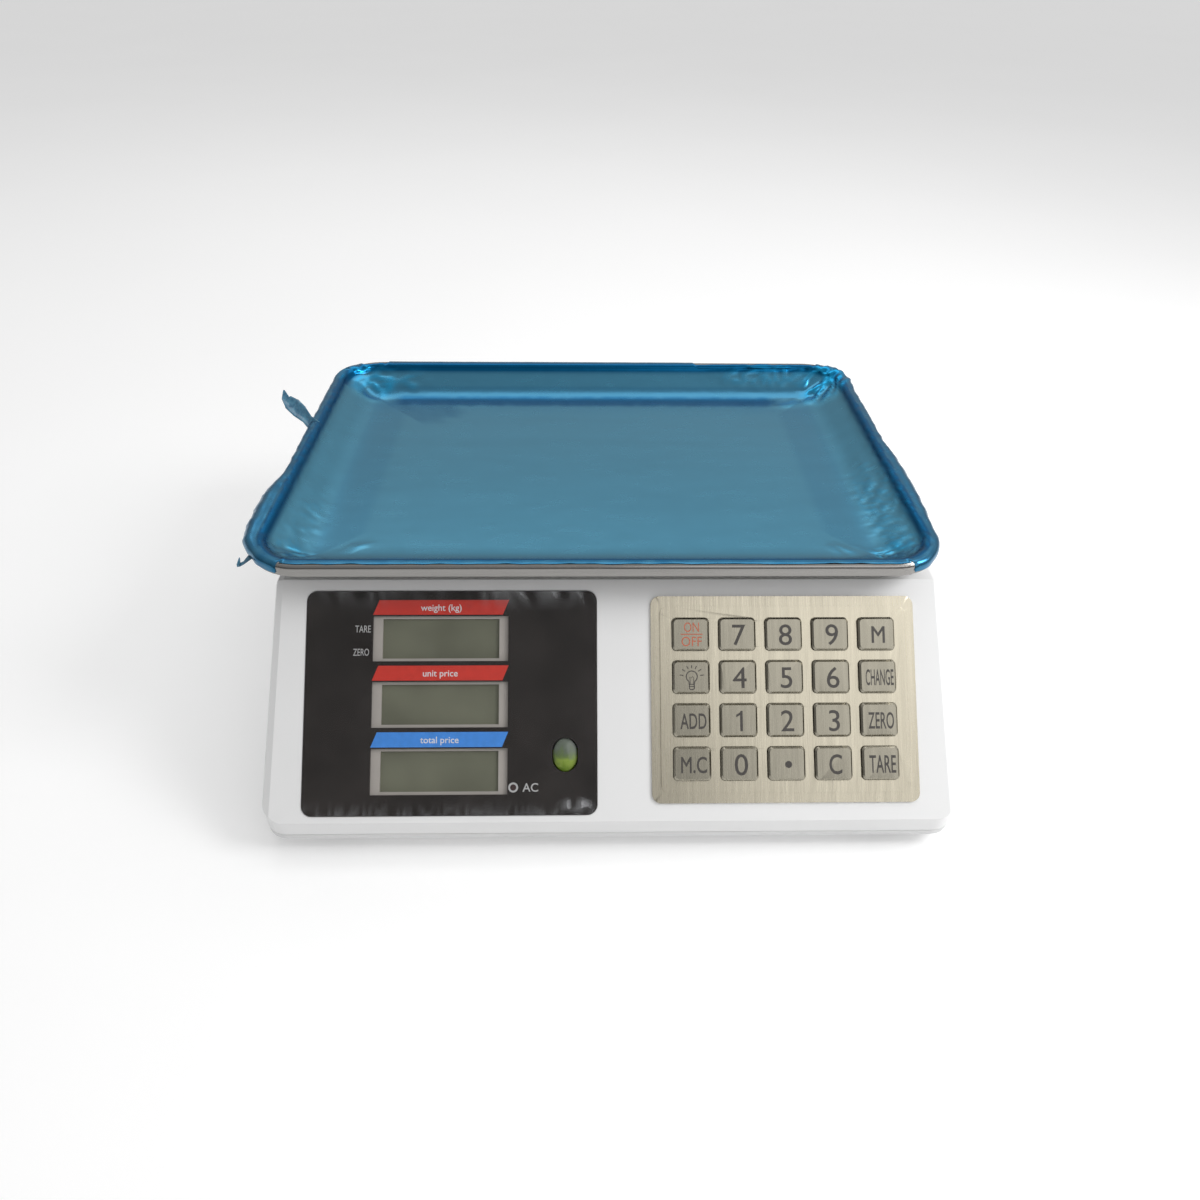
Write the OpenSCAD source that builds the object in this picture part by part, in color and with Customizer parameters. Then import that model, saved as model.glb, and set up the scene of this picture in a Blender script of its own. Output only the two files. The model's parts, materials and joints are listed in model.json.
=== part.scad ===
// Retail price scale: stainless pan on a load-cell spider, white ABS housing,
// sloped front with a black display panel (three LCDs) and a 20-key metal keypad.
// X is the width, -Y the seller's side, +Z up. The origin is on the counter,
// under the centre of the object's box.

/* [Housing] */
// Width of the housing at its foot
house_w = 341; // [330:1:350]
// Width of the housing at its top, so that its sides lean in
house_top_w = 334; // [330:1:340]
// Depth of the housing at its foot
house_d = 306; // [296:1:320]
// Height of the upright lip under the slope
lip_h = 12; // [9:0.5:16]
// Rise of the sloped front
slope_rise = 83; // [78:0.5:88]
// Depth of the sloped front
slope_run = 84; // [80:0.5:90]
// Wall thickness of the mouldings
wall = 2.5; // [2:0.1:3]
// Plan radius of the upright corners
corner_r = 12; // [8:0.5:16]
// Housing centre, to the right of the origin
house_x = 3.25; // [0:0.25:6]

/* [Feet] */
// Height of the housing's underside above the counter
foot_h = 9; // [9:0.5:12]
// Foot centres, left and right of the housing centre
foot_x = 138; // [130:1:142]
// Foot centres, front and back
foot_y = 126; // [120:1:128]
// Radius of the M8 foot screws
stud_r = 3.95; // [3.92:0.01:3.97]

/* [Pan] */
// Width of the pan over its rim
pan_w = 340; // [320:1:350]
// Depth of the pan over its rim
pan_d = 230; // [220:1:240]
// Inside depth of the pan's dish
pan_depth = 15; // [12:0.5:16]
// Plan radius of the pan's corners
pan_r = 28; // [27.5:0.5:34]
// Pan centre, left of the origin, as it lies on its loose seat
pan_x = -3.75; // [-6:0.25:2]
// Pan centre, behind the origin
pan_y = 32; // [30:0.5:34]
// Gap between the pan's floor and the housing's top
pan_gap = 3; // [2.5:0.5:6]
// Height of the pan's turned-down rim
rim_h = 6; // [5.5:0.5:8]
// Sheet thickness of the pan
sheet_t = 1; // [0.8:0.1:1.2]
// Thickness of the protective film on the pan
film_t = 0.3; // [0.2:0.05:0.4]

/* [Display panel] */
// Width of the black panel
panel_w = 142.5; // [138:0.5:144]
// Height of the black panel along the slope
panel_h = 109; // [106:0.5:110]
// Panel centre, left of the housing centre
panel_x = -78.5; // [-80:0.5:-76]
// Panel centre, down the slope from its top edge
panel_v = 60.2; // [60:0.1:60.5]
// Centre line of the three windows, left of the housing centre
lcd_x = -84; // [-84.5:0.5:-83.5]
// Centre of the middle window, down the slope
lcd_v = 61.5; // [61:0.5:62]
// Spacing of the windows
lcd_pitch = 32.3; // [31:0.1:33]
// Window opening in the panel
window = [66.5, 22.2]; // [20:0.1:70]
// Visible glass of one LCD
glass = [57.4, 19.5]; // [18:0.1:60]
// Level window centre, from the housing centre
level_x = -22.7; // [-23:0.1:-22]
// Level window centre, down the slope
level_v = 86; // [85:0.5:87]
// Mains lamp centre, from the housing centre
lamp_x = -47.9; // [-48.1:0.1:-47.7]
// Mains lamp centre, down the slope
lamp_v = 101.5; // [101:0.5:102]

/* [Keypad] */
// Width of the metal keypad plate
pad_w = 131; // [128:0.5:132]
// Height of the metal keypad plate along the slope
pad_h = 101; // [99:0.5:102]
// Keypad centre, right of the housing centre
pad_x = 85; // [84:0.5:86]
// Keypad centre, down the slope
pad_v = 59; // [58.5:0.5:59.5]
// Key spacing across and down the slope
key_pitch = [23, 21]; // [20:0.5:23]
// Size of one key cap
key_size = [18, 16]; // [15:0.1:18]
// Height of the raised middle of the plate
plateau = 1.8; // [1.4:0.1:2.4]
// Height of the key caps above the slope
key_top = 3.7; // [3:0.1:4.5]

/* [Weighing gear] */
// Length, width and height of the load cell
cell = [130, 30, 22]; // [20:1:130]
// Underside of the load cell above the counter
cell_z = 58; // [56:0.5:58]
// Spider posts, left and right of the housing centre
post_x = 112; // [100:1:120]
// Spider posts, in front of and behind the pan's centre
post_y = 74; // [68:1:78]

/* [Hidden] */
$fn = 48;
slope_a = atan(slope_rise / slope_run);
front_y = -house_d / 2;
back_y = house_d / 2;
lip_z = foot_h + lip_h;                 // foot of the slope
top_z = lip_z + slope_rise;             // flat top of the housing
top_y = front_y + slope_run;            // top edge of the slope
seam_z = foot_h + 3.3;                  // lower edge of the top moulding
pan_top = top_z + pan_gap + sheet_t + pan_depth;
k_lip = (1 - sin(slope_a)) / cos(slope_a);
k_top = (1 - cos(slope_a)) / sin(slope_a);
screw_xy = [for (i = [-156, 156], j = [-141, 0, 141]) [i, j]];
post_xy = [for (i = [-1, 1], j = [-1, 1]) [i * post_x, pan_y + j * post_y]];
stake_xy = [[-57, 48], [57, 48], [-57, -48], [57, -48]];
bay = [[-102, 65], [3, 137]];           // battery bay, low and high corner
inlet_y = 115;
inlet_z = 36;
board_xy = [[48, -58], [132, -58], [48, 4], [132, 4]];

// ---- helpers ----
module at_house() { translate([house_x, 0, 0]) children(); }

// Slope frame: x across, y up the slope, z out of it; origin at its top edge.
module at_slope(x = 0, v = 0) {
    at_house() translate([0, top_y, top_z]) rotate([slope_a, 0, 0]) translate([x, -v, 0]) children();
}

// Frame of the back wall: z out of it, y up.
module at_rear(x = 0, z = 66) {
    at_house() translate([x, back_y, z]) rotate([90, 0, 180]) children();
}

// Frame of the right wall at the power inlet: z out of it, x to the back.
module at_side() {
    lean = (house_w - house_top_w) / 2 * (inlet_z - lip_z) / slope_rise;
    at_house() translate([house_w / 2 - lean, inlet_y, inlet_z]) rotate([90, 0, 90]) children();
}

// Rectangle with round corners, made of exact circles.
module round_rect(w, h, r) {
    square([w - 2 * r, h], center = true);
    square([w, h - 2 * r], center = true);
    for (i = [-1, 1], j = [-1, 1]) translate([i * (w / 2 - r), j * (h / 2 - r)]) circle(r);
}

module plate(w, h, r, z0, z1) {
    translate([0, 0, z0]) linear_extrude(z1 - z0) round_rect(w, h, r);
}

// Upright slot with round ends.
module slot(r, half) {
    square([2 * r, 2 * half], center = true);
    for (j = [-1, 1]) translate([0, j * half]) circle(r);
}

// Slab across the housing: half its width, and its side outline (y, z).
module side_slab(half, outline) {
    translate([-half, 0, 0]) rotate([90, 0, 90]) linear_extrude(2 * half) polygon(outline);
}

// Foot and top of the housing's outline, moved in by i on every side but the foot.
function foot_outline(i, zb) = [
    [front_y + i, zb], [front_y + i, lip_z - k_lip * i], [back_y - i, lip_z], [back_y - i, zb]];
function top_outline(i) = [
    [top_y + k_top * i, top_z - i], [back_y - i, top_z - i], [back_y - i, top_z - i - 0.1]];

// Solid block of the housing, with eased side edges and round upright corners.
module housing_block(i, zb) {
    intersection() {
        hull() for (e = [[5, 0], [1.6, 1.4], [0, 4.6]]) {
            side_slab(house_w / 2 - i - e[0], foot_outline(i + e[1], zb));
            side_slab(house_top_w / 2 - i - e[0], top_outline(i + e[1]));
        }
        linear_extrude(200) round_rect(house_w - 2 * i, house_d - 2 * i, corner_r - i);
    }
}

// Ring with the given section swept round the pan's rim; x = 0 is its edge.
module rim_sweep() {
    sx = pan_w / 2 - pan_r;
    sy = pan_d / 2 - pan_r;
    for (k = [0:3]) {
        mx = (k == 0 || k == 3) ? sx : -sx;
        my = k < 2 ? sy : -sy;
        translate([mx, my, 0]) rotate([0, 0, k * 90])
            rotate_extrude(angle = 90, $fn = 64) translate([pan_r, 0]) children();
    }
    for (s = [0, 180]) rotate([0, 0, s]) {
        translate([pan_w / 2, sy, 0]) rotate([90, 0, 0]) linear_extrude(2 * sy) children();
        translate([-sx, pan_d / 2, 0]) rotate([90, 0, 90]) linear_extrude(2 * sx) children();
    }
}

// Upper face of the pan's rim and wall, moved out by t; z = 0 is the rim's top.
function arc(cx, cz, r, a0, a1, n) =
    [for (i = [0:n]) let (a = a0 + (a1 - a0) * i / n) [cx + r * cos(a), cz + r * sin(a)]];
function rim_face(t, a0) = concat(
    arc(-2.5, -2.5, 2.5 + t, a0, 90, 5),
    arc(-4.5, -2.5, 2.5 + t, 90, 165, 5),
    [[-8.3 - 0.72 * t, -4 + 0.69 * t], [-24 - 0.31 * t, -pan_depth + t], [-25, -pan_depth + t]]);
function reversed(p) = [for (i = [len(p) - 1:-1:0]) p[i]];

// ---- housing ----
module upper_housing() {
    color("white") difference() {
        union() {
            at_house() difference() {
                housing_block(0, seam_z);
                housing_block(wall, seam_z - 1);
            }
            at_house() intersection() {
                housing_block(wall / 2, seam_z);
                for (p = screw_xy) translate([p[0], p[1], foot_h + 7.1]) cylinder(r = 4.5, h = 100);
            }
            at_slope(panel_x, panel_v) board_stakes(3, 2.9, 64, 48);
            at_slope(pad_x, pad_v) board_stakes(1.5, 2.9, 63, 47);
            at_rear() board_stakes(2.1, 1.9, 78.5, 17);
        }
        // seats and openings of the slope
        at_slope(panel_x, panel_v) plate(panel_w + 0.6, panel_h + 0.6, 5.3, -1, 2);
        at_slope(lcd_x + 0.9, lcd_v) plate(76, 95, 1, -9, 2);
        at_slope(level_x, level_v) translate([0, 0, -9]) linear_extrude(12) slot(7.5, 2.2);
        at_slope(pad_x, pad_v) plate(119, 87, 3, -9, 2);
        // holes for the spider's posts
        at_house() for (p = post_xy) translate([p[0], p[1], top_z - 9]) cylinder(r = 10, h = 20);
        // rear panel and power inlet
        at_rear() plate(160.6, 44.6, 5.3, -1.4, 2);
        at_rear() plate(147, 30, 1, -9, 2);
        at_side() plate(26.4, 18.4, 2.2, -9, 2);
        at_house() for (p = screw_xy) translate([p[0], p[1], foot_h]) cylinder(r = 1.5, h = 20);
    }
}

// Four pegs behind a wall that carry a board, each with a thin end staked over.
module board_stakes(len, r, dx, dy) {
    for (i = [-1, 1], j = [-1, 1]) translate([i * dx, j * dy, -wall - len]) {
        cylinder(r = r, h = len + 0.4);
        translate([0, 0, -2.2]) cylinder(r = 1, h = 2.4);
    }
}

module lower_housing() {
    color("whitesmoke") at_house() difference() {
        union() {
            translate([0, 0, foot_h]) linear_extrude(3) round_rect(house_w, house_d, corner_r);
            translate([0, 0, foot_h + 2.9]) linear_extrude(6) difference() {
                round_rect(house_w - 2 * wall - 0.8, house_d - 2 * wall - 0.8, corner_r - wall - 0.4);
                round_rect(house_w - 2 * wall - 4, house_d - 2 * wall - 4, corner_r - wall - 2);
            }
            for (i = [-1, 1], j = [-1, 1]) translate([i * foot_x, j * foot_y, foot_h]) cylinder(r = 9, h = 16);
            for (p = screw_xy) translate([p[0], p[1], foot_h]) cylinder(r = 5, h = 7);
            cell_tower();
            battery_ribs();
            for (p = board_xy) translate([p[0], p[1], foot_h]) cylinder(r = 3.2, h = 15);
            for (j = [-1, 1]) translate([93, 98 + j * 29, foot_h]) cylinder(r = 4, h = 5);
            level_cup();
        }
        for (i = [-1, 1], j = [-1, 1]) translate([i * foot_x, j * foot_y, 0]) cylinder(r = 4, h = 60);
        for (p = screw_xy) translate([p[0], p[1], 0]) {
            cylinder(r = 3.4, h = foot_h + 3.4);
            cylinder(r = 1.7, h = 60);
        }
        translate([bay[0][0], bay[0][1], 0])
            cube([bay[1][0] - bay[0][0], bay[1][1] - bay[0][1], foot_h + 4]);
        tower_pockets();
    }
}

// Tower under the fixed end of the load cell, and the post of the overload stop.
module cell_tower() {
    translate([-50, pan_y, foot_h]) linear_extrude(cell_z - 4 - foot_h) square([38, 38], center = true);
    translate([50, pan_y, foot_h]) linear_extrude(cell_z - 9 - foot_h) square([20, 20], center = true);
}

// Two pockets, open below, that lighten the tower and take the bolt heads.
module tower_pockets() {
    translate([-50, pan_y, 0]) {
        for (i = [-1, 1]) translate([i * 9.25, 0]) linear_extrude(cell_z - 10)
            square([14.5, 32], center = true);
        for (i = [-7, 7], j = [-8, 8]) translate([i, j, cell_z - 14]) cylinder(r = 3.3, h = 20);
    }
}

module battery_ribs() {
    translate([bay[0][0], bay[0][1], foot_h + 2]) linear_extrude(22) difference() {
        translate([-2, -2]) square([bay[1][0] - bay[0][0] + 4, bay[1][1] - bay[0][1] + 4]);
        square([bay[1][0] - bay[0][0], bay[1][1] - bay[0][1]]);
    }
}

module level_cup() {
    y = top_y - level_v * cos(slope_a) + 6;
    translate([level_x, y, foot_h]) difference() {
        union() {
            cylinder(r = 5, h = 18);
            translate([0, 0, 16]) cylinder(r = 9.5, h = 7);
        }
        translate([0, 0, 18]) cylinder(r = 8, h = 10);
    }
}

module housing_screws() {
    color("silver") at_house() for (p = screw_xy) translate([p[0], p[1], foot_h]) {
        translate([0, 0, 1.4]) difference() {
            cylinder(r = 3, h = 2);
            translate([0, 0, -0.1]) linear_extrude(1.1) square([3.6, 0.8], center = true);
            translate([0, 0, -0.1]) linear_extrude(1.1) square([0.8, 3.6], center = true);
        }
        translate([0, 0, 3.4]) cylinder(r = 1.5, h = 15);
    }
}

module battery_door() {
    c = 0.5;
    w = bay[1][0] - bay[0][0] - 2 * c;
    d = bay[1][1] - bay[0][1] - 2 * c;
    color("whitesmoke") at_house() translate([bay[0][0] + c, bay[0][1] + c, foot_h]) difference() {
        cube([w, d, 2.6]);
        translate([w / 2, d - 8, -0.1]) linear_extrude(1.5) slot(5, 2);
    }
}

// ---- pan ----
module weighing_pan() {
    lip = rim_h;
    color("silver") translate([pan_x, pan_y, pan_top]) {
        rim_sweep() polygon(concat([[-1.9, -lip], [0, -lip]], rim_face(0, 0), [[-25, -pan_depth - sheet_t]],
            [[-24.3, -pan_depth - sheet_t], [-8.9, -5]],
            reversed(arc(-4.5, -2.5, 1.5, 90, 165, 4)), reversed(arc(-2.5, -2.5, 1.5, 0, 90, 4)),
            [[-1, 1 - lip], [-1.9, 1 - lip]]));
        plate(pan_w - 49, pan_d - 49, pan_r - 24.5, -pan_depth - sheet_t, -pan_depth);
    }
}

module pan_film() {
    color("steelblue", 0.6) translate([pan_x, pan_y, pan_top]) {
        rim_sweep() polygon(concat(rim_face(film_t, 40), reversed(rim_face(0, 40))));
        plate(pan_w - 49, pan_d - 49, pan_r - 24.5, -pan_depth, -pan_depth + film_t);
    }
}

// ---- display ----
module display_panel() {
    color([0.07, 0.07, 0.08]) difference() {
        at_slope(panel_x, panel_v) plate(panel_w, panel_h, 5, -1, 0.4);
        for (k = [-1:1]) at_slope(lcd_x, lcd_v + k * lcd_pitch)
            translate([0, 0, -3]) linear_extrude(6) square(window, center = true);
        at_slope(level_x, level_v) translate([0, 0, -3]) linear_extrude(6) slot(6.25, 2);
        at_slope(lamp_x, lamp_v) translate([0, 0, -3]) cylinder(r = 1.55, h = 6);
    }
}

module display_film() {
    color("white", 0.2) at_slope(panel_x, panel_v) plate(panel_w - 0.6, panel_h - 0.6, 4.8, 0.4, 0.5);
}

module lcd_frame() {
    color([0.66, 0.64, 0.62]) difference() {
        at_slope(lcd_x - 1.25, lcd_v) plate(70.5, 94, 1, -5.5, -1.05);
        for (k = [-1:1]) at_slope(lcd_x, lcd_v + k * lcd_pitch) {
            translate([0, 0, -7]) linear_extrude(9) square(glass, center = true);
            translate([0, 0, -7]) linear_extrude(4.9) square([62.4, 24], center = true);
        }
    }
}

module lcd(k) {
    color([0.41, 0.42, 0.35]) at_slope(lcd_x, lcd_v + k * lcd_pitch)
        translate([0, 0, -5.4]) linear_extrude(3.2) square([62, 23.6], center = true);
}

module ac_lamp() {
    color("dimgray") at_slope(lamp_x, lamp_v) {
        translate([0, 0, -5.5]) cylinder(r = 1.5, h = 5.5);
    }
}

module display_board() {
    color("darkgreen") difference() {
        union() {
            at_slope(panel_x, panel_v) plate(134, 103, 1, -7.1, -5.5);
            at_slope(panel_x, panel_v) translate([0, 0, -12]) linear_extrude(5)
                square([16, 22], center = true);
        }
        at_slope(panel_x, panel_v) for (i = [-1, 1], j = [-1, 1])
            translate([i * 64, j * 48, -9]) cylinder(r = 1, h = 6);
        at_slope(level_x + 4, level_v) translate([0, 0, -9]) linear_extrude(6)
            square([30, 34], center = true);
    }
}

module level_vial() {
    y = top_y - level_v * cos(slope_a) + 6;
    color("yellowgreen") at_house() translate([level_x, y, foot_h + 18]) cylinder(r = 7.9, h = 8);
}

// ---- keypad ----
module keypad_plate() {
    color([0.76, 0.73, 0.66]) difference() {
        at_slope(pad_x, pad_v) union() {
            plate(pad_w, pad_h, 4.5, 0, 0.9);
            plate(pad_w - 9, pad_h - 10, 4, 0.5, plateau);
        }
        for (c = [0:4], r = [0:3]) key_place(c, r) plate(key_size[0] + 0.6, key_size[1] + 0.6, 2.4, -2, 5);
    }
}

module key_place(c, r) {
    at_slope(pad_x + (c - 2) * key_pitch[0], pad_v + (r - 1.5) * key_pitch[1]) children();
}

// One cap: a retaining flange under the plate, a raised cap with eased edges.
module key_cap(c, r, shade = [0.74, 0.72, 0.66]) {
    color(shade) key_place(c, r) {
        plate(key_size[0] + 2.4, key_size[1] + 2.4, 2, -1.2, -0.1);
        plate(key_size[0], key_size[1], 2.1, -0.5, key_top - 0.9);
        hull() {
            plate(key_size[0], key_size[1], 2.1, key_top - 1, key_top - 0.8, $fn = 32);
            plate(key_size[0] - 1.6, key_size[1] - 1.6, 1.8, key_top - 0.2, key_top, $fn = 32);
        }
        translate([0, 0, -1.6]) cylinder(r = 3, h = 0.5);
    }
}

module keypad_mat() {
    color([0.3, 0.3, 0.3]) {
        at_slope(pad_x, pad_v) plate(117, 85, 2, -4, -3.2);
        for (c = [0:4], r = [0:3]) key_place(c, r) translate([0, 0, -3.3]) cylinder(r = 4, h = 0.5);
    }
}

module keypad_board() {
    color("darkgreen") at_slope(pad_x, pad_v) difference() {
        plate(132, 101, 1, -5.6, -4);
        for (i = [-1, 1], j = [-1, 1]) translate([i * 63, j * 47, -9]) cylinder(r = 1, h = 9);
    }
}

// ---- rear display and boards ----
module rear_panel() {
    color([0.07, 0.07, 0.08]) at_rear() difference() {
        plate(160, 44, 5, -1.4, 0);
        for (i = [-1:1]) translate([i * 49, 0, -3]) linear_extrude(6) square([42, 18], center = true);
    }
}

module rear_lcds() {
    color([0.41, 0.42, 0.35]) at_rear() for (i = [-1:1]) translate([i * 49, 0, -4.6])
        linear_extrude(3.1) square([46.5, 24], center = true);
}

module rear_board() {
    color("darkgreen") at_rear() difference() {
        plate(164, 40, 1, -6.2, -4.6);
        for (i = [-1, 1], j = [-1, 1]) translate([i * 78.5, j * 17, -9]) cylinder(r = 1, h = 9);
    }
}

module main_board() {
    color("darkgreen") at_house() translate([0, 0, foot_h + 15]) {
        translate([90, -27, 0]) linear_extrude(1.6) square([96, 74], center = true);
        translate([80, -30, 1.5]) linear_extrude(2.6) square([22, 22], center = true);
        translate([112, -14, 1.5]) linear_extrude(1.8) square([12, 8], center = true);
        translate([122, -44, 1.5]) cylinder(r = 5, h = 12);
        for (i = [0:2]) translate([58 + 18 * i, 3, 1.5]) linear_extrude(7) square([12, 5], center = true);
    }
}

// ---- weighing gear ----
module load_cell() {
    color("lightsteelblue") at_house() translate([0, pan_y, cell_z]) difference() {
        translate([-cell[0] / 2, -cell[1] / 2, 0]) cube(cell);
        // flexure window: two joined bores right through
        for (i = [-1, 1]) translate([i * 12, 20, cell[2] / 2]) rotate([90, 0, 0]) cylinder(r = 8.2, h = 40);
        translate([-12, -20, cell[2] / 2 - 4]) cube([24, 40, 8]);
        for (j = [-1, 1]) {
            for (x = [-57, -43]) translate([x, j * 8, -1]) cylinder(r = 3, h = 16);
            for (x = [57, 43]) translate([x, j * 8, cell[2] - 15]) cylinder(r = 3, h = 16);
        }
    }
}

module cell_spacer() {
    color("gray") at_house() translate([-50, pan_y, cell_z - 4]) difference() {
        linear_extrude(4) square([29, 29], center = true);
        for (i = [-7, 7], j = [-8, 8]) translate([i, j, -1]) cylinder(r = 3.3, h = 6);
    }
}

// Bolt with its head below z = 0 and its shank above.
module bolt(len) {
    translate([0, 0, -5]) cylinder(r = 5, h = 5);
    cylinder(r = 3, h = len);
}

module cell_bolts_fixed() {
    color("silver") at_house() for (i = [-7, 7], j = [-8, 8])
        translate([-50 + i, pan_y + j, cell_z - 10]) bolt(22);
}

module cell_bolts_free() {
    color("silver") at_house() for (i = [-7, 7], j = [-8, 8])
        translate([50 + i, pan_y + j, cell_z + cell[2] + 12]) rotate([180, 0, 0]) bolt(22);
}

module overload_stop() {
    color("gray") at_house() translate([50, pan_y, cell_z - 9]) {
        cylinder(r = 6, h = 3);
        translate([0, 0, 2.9]) cylinder(r = 4, h = 5.3);
    }
}

module pan_spider() {
    z0 = cell_z + cell[2];
    reach = norm([post_x, post_y]);
    color("gainsboro") at_house() translate([0, pan_y, z0]) {
        translate([0, 0, 4]) linear_extrude(8) difference() {
            union() {
                square([134, 44], center = true);
                for (i = [-1, 1], j = [-1, 1]) {
                    rotate(atan2(j * post_y, i * post_x)) translate([20, -8]) square([reach - 20, 16]);
                    translate([i * post_x, j * post_y]) circle(10);
                }
            }
            for (i = [-7, 7], j = [-8, 8]) translate([50 + i, j]) circle(3.3);
        }
        linear_extrude(4) difference() {
            translate([50, 0]) square([30, 30], center = true);
            for (i = [-7, 7], j = [-8, 8]) translate([50 + i, j]) circle(3.3);
        }
        for (i = [-1, 1], j = [-1, 1]) translate([i * post_x, j * post_y, 8])
            cylinder(r = 4, h = top_z - z0 - 8);
    }
}

module pan_cushions() {
    color([0.15, 0.15, 0.15]) at_house() for (p = post_xy) translate([p[0], p[1], 0]) difference() {
        translate([0, 0, top_z - 8]) cylinder(r = 7.5, h = 8 + pan_gap);
        translate([0, 0, top_z - 9]) cylinder(r = 4, h = 9);
    }
}

// ---- power ----
module battery() {
    color([0.2, 0.2, 0.22]) at_house() translate([bay[0][0] + 2, bay[0][1] + 1, foot_h + 3.2]) {
        cube([98, 70, 47]);
        for (j = [20, 50]) translate([97.9, j, 30]) cube([3, 6, 1]);
    }
}

module transformer() {
    color("dimgray") at_house() translate([93, 98, foot_h + 5]) {
        translate([0, 0, 0]) linear_extrude(1.2) square([20, 68], center = true);
        translate([0, 0, 1]) linear_extrude(36) square([38, 46], center = true);
        translate([0, 0, 7]) linear_extrude(24) square([52, 30], center = true);
    }
}

module power_inlet() {
    color([0.1, 0.1, 0.1]) at_side() {
        difference() {
            union() {
                plate(26, 18, 2, -20, 0);
                plate(31, 23, 2, -6.4, -3.4);
            }
            translate([0, 0, -12]) linear_extrude(13) rotate(90) slot(4.4, 4.3);
        }
        for (i = [-1, 1]) translate([i * 4.3, 0, -12.1]) cylinder(r = 1.2, h = 9.1);
        for (i = [-1, 1]) translate([i * 4.3 - 2.4, -0.4, -27]) cube([4.8, 0.8, 7.5]);
    }
}

// ---- feet ----
module foot_pad(i, j) {
    color([0.12, 0.12, 0.12]) at_house() translate([i * foot_x, j * foot_y, 0]) difference() {
        cylinder(r = 14, h = 4.4);
        translate([0, 0, 1.9]) cylinder(r = 5.05, h = 5);
    }
}

module foot_screw(i, j) {
    color([0.2, 0.2, 0.2]) at_house() translate([i * foot_x, j * foot_y, 0]) {
        translate([0, 0, 2]) cylinder(r = 5, h = 3);
        translate([0, 0, 4.5]) difference() {
            cylinder(r = 14.5, h = 3.4);
            for (k = [0:11]) rotate([0, 0, 30 * k]) translate([15.6, 0, -1]) cylinder(r = 2.4, h = 6);
        }
        translate([0, 0, 7]) cylinder(r = stud_r, h = 20);
    }
}

upper_housing();
lower_housing();
weighing_pan();
pan_film();
display_panel();
display_film();
lcd_frame();
lcd(-1);  // lcd_weight
lcd(0);  // lcd_unit_price
lcd(1);  // lcd_total_price
ac_lamp();
level_vial();
keypad_plate();
key_cap(0, 0);  // key_on_off
key_cap(1, 0);  // key_7
key_cap(2, 0);  // key_8
key_cap(3, 0);  // key_9
key_cap(4, 0);  // key_m
key_cap(0, 1);  // key_light
key_cap(1, 1);  // key_4
key_cap(2, 1);  // key_5
key_cap(3, 1);  // key_6
key_cap(4, 1);  // key_change
key_cap(0, 2);  // key_add
key_cap(1, 2);  // key_1
key_cap(2, 2);  // key_2
key_cap(3, 2);  // key_3
key_cap(4, 2);  // key_zero
key_cap(0, 3);  // key_mc
key_cap(1, 3);  // key_0
key_cap(2, 3);  // key_dot
key_cap(3, 3);  // key_c
key_cap(4, 3);  // key_tare
keypad_mat();
keypad_board();
display_board();
rear_panel();
rear_lcds();
rear_board();
main_board();
pan_spider();
pan_cushions();
load_cell();
cell_spacer();
cell_bolts_fixed();
cell_bolts_free();
overload_stop();
battery();
battery_door();
transformer();
power_inlet();
housing_screws();
foot_pad(-1, -1);  // foot_pad_fl
foot_pad(1, -1);  // foot_pad_fr
foot_pad(-1, 1);  // foot_pad_rl
foot_pad(1, 1);  // foot_pad_rr
foot_screw(-1, -1);  // foot_screw_fl
foot_screw(1, -1);  // foot_screw_fr
foot_screw(-1, 1);  // foot_screw_rl
foot_screw(1, 1);  // foot_screw_rr
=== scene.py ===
"""Looks of the retail price scale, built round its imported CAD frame."""
import json
import math

import bpy
from mathutils import Matrix, Vector, noise


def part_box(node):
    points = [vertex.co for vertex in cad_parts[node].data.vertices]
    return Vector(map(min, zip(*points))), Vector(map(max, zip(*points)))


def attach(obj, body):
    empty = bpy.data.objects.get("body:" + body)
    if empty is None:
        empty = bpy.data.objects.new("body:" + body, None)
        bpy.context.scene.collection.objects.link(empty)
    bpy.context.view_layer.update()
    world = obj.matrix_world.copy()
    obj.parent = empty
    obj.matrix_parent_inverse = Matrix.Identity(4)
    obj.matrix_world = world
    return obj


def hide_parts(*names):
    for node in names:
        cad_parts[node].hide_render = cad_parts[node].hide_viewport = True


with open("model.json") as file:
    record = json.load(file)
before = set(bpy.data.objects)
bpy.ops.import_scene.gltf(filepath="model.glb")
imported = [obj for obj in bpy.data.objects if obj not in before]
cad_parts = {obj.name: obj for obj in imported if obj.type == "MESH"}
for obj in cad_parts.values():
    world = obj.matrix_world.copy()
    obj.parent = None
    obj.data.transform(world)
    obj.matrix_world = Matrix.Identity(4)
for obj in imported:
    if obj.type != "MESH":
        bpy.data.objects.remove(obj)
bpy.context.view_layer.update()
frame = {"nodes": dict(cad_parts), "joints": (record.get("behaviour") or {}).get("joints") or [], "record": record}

MM = 0.001
nodes = frame["nodes"]
joints = {joint["name"]: joint for joint in frame["joints"]}
slot_of = {part["node"]: part["material_slot"] for part in frame["record"]["subparts"]}
body_of = {node: body for body, group in frame["record"]["behaviour"]["bodies"].items()
           for node in group}

# The sloped front: to the right, out of the slope and up it.
RIGHT = Vector((1, 0, 0))
OUT = Vector(joints["key_7_press"]["axis"]).normalized()
UP = OUT.cross(RIGHT)
BACK, SKY = Vector((0, 1, 0)), Vector((0, 0, 1))


# ---------------------------------------------------------------- materials
def shader_of(mat):
    return mat.node_tree.nodes["Principled BSDF"]


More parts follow.
